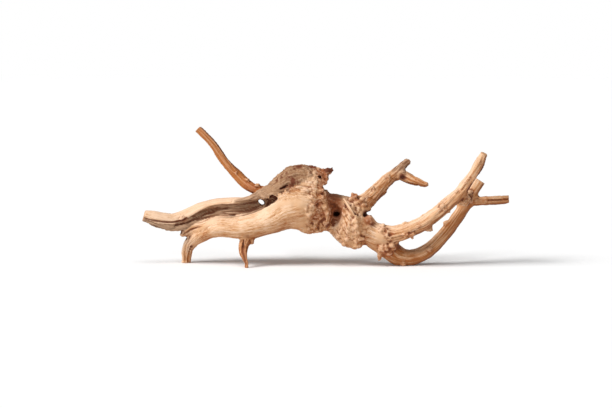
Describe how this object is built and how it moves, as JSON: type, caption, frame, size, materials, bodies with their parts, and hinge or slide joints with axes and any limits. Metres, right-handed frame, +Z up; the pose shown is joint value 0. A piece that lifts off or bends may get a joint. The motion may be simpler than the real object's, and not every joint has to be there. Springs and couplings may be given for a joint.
{
  "type": "piece of driftwood",
  "caption": "Worn driftwood root with a burl in the middle, a forked foot at one end and slim curved limbs at the other.",
  "frame": {"origin": "on the surface it rests on, under the middle of its bounding box", "axes": "+X along its length from the forked foot to the slim limbs, +Y towards its back, +Z up"},
  "size_m": [0.453, 0.1024, 0.1699],
  "materials": {
    "driftwood": "dry worn wood, pale and smooth where it is rubbed, grey-brown and reddish in its furrows and burl"
  },
  "bodies": {
    "root": {"driftwood": "driftwood"}
  },
  "joints": []
}
